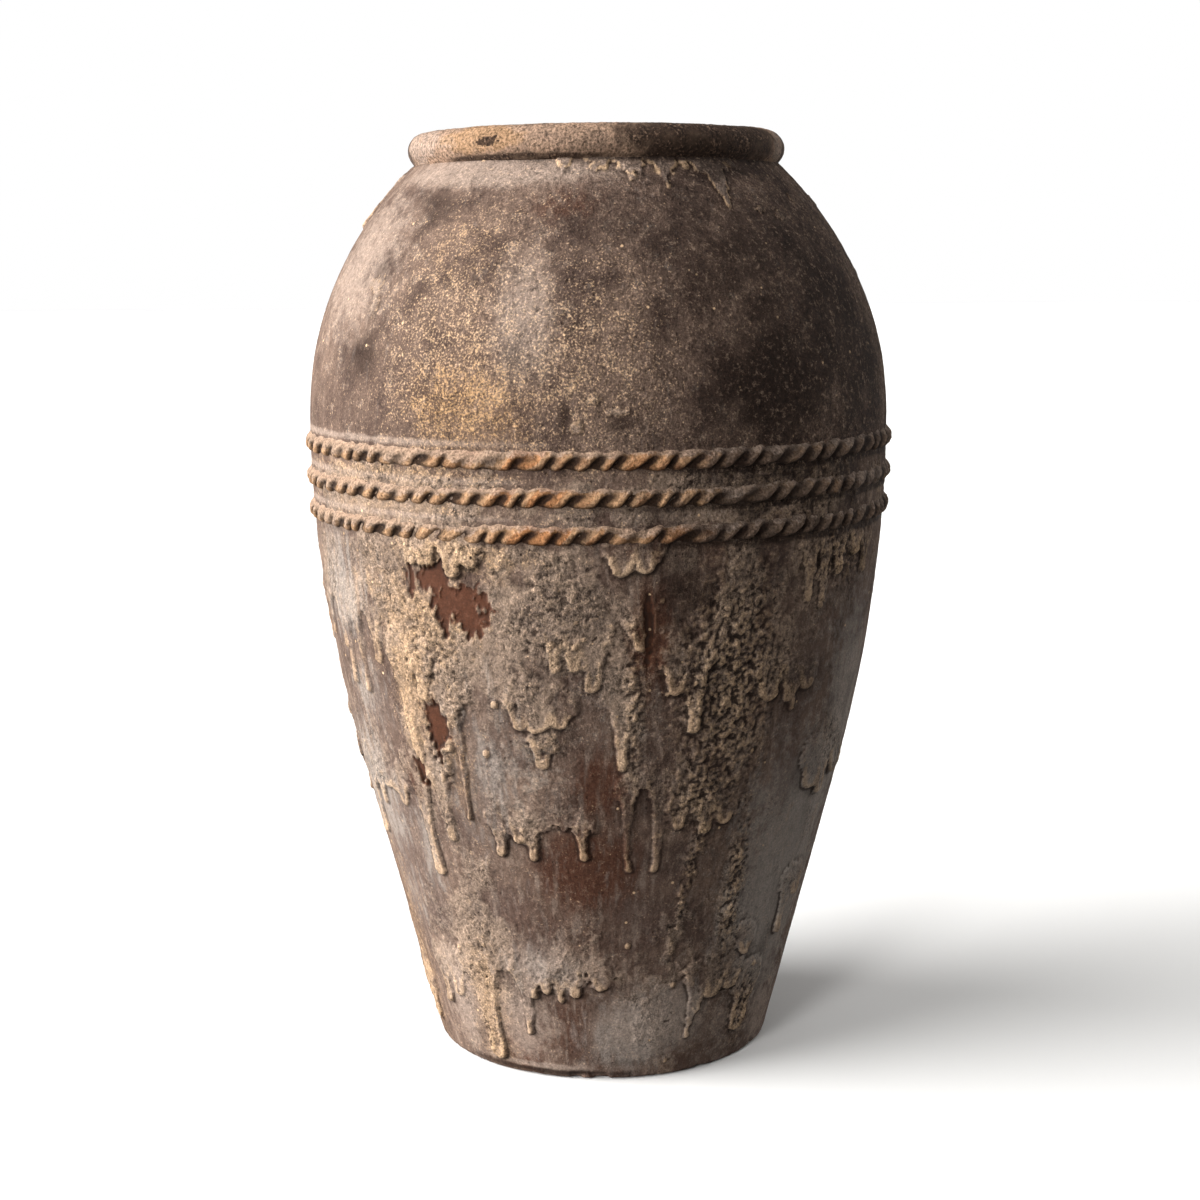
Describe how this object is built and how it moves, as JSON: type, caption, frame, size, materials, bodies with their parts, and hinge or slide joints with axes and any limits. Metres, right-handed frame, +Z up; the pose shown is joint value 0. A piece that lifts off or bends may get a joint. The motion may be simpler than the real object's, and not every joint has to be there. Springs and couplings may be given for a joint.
{
  "type": "pithos storage jar",
  "caption": "Weathered terracotta storage jar, coil-built, with a rolled rim, rope bands and a pitted lime crust",
  "frame": {"origin": "centre of the foot, on the surface the jar stands on", "axes": "+Z up along the jar's axis of turning; X and Y lie in the standing surface"},
  "size_m": [0.6407, 0.6408, 1],
  "materials": {
    "weathered_clay": "coarse terracotta under a sandy, pitted lime crust",
    "rim_clay": "sandy terracotta, smoothed by hand",
    "rope_clay": "pressed terracotta, dusty in the hollows"
  },
  "bodies": {
    "root": {"base_disc": "weathered_clay", "cove_coil": "weathered_clay", "foot_course": "weathered_clay", "lower_flank_course": "weathered_clay", "middle_flank_course": "weathered_clay", "belly_course": "weathered_clay", "girth_course": "weathered_clay", "shoulder_course": "weathered_clay", "collar_course": "weathered_clay", "rim_roll": "rim_clay", "rope_band_lower": "rope_clay", "rope_band_middle": "rope_clay", "rope_band_upper": "rope_clay"}
  },
  "joints": []
}
